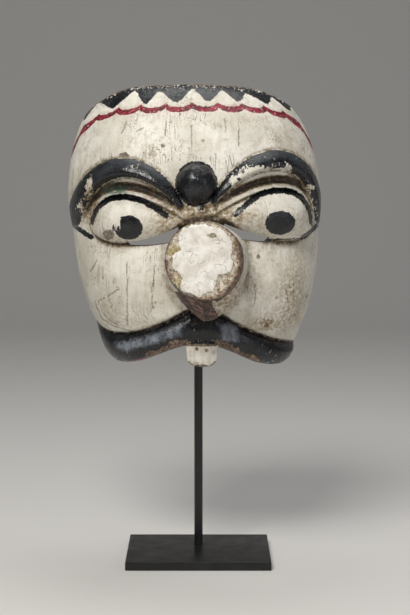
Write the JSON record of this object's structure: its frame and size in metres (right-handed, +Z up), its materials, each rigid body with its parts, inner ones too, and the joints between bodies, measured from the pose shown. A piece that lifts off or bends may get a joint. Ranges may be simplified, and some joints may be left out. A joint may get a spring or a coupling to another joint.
{
  "type": "dance mask",
  "caption": "Carved and painted wooden half-mask with arched black brows, bulging eyes over see-through slits, a blunt cut-off nose and a moustache, held up on a rod and flat foot.",
  "frame": {"origin": "centre of the foot's underside, on the surface it stands on", "axes": "+Z up along the rod; the face looks along -Y; +X is the viewer's right, the wearer's left"},
  "size_m": [0.149, 0.12, 0.2775],
  "materials": {
    "painted_wood": "worn gesso and paint, off-white with gloss black and crimson",
    "black_steel": "satin black lacquer"
  },
  "bodies": {
    "root": {"mask": "painted_wood", "foot": "black_steel", "rod": "black_steel"}
  },
  "joints": []
}
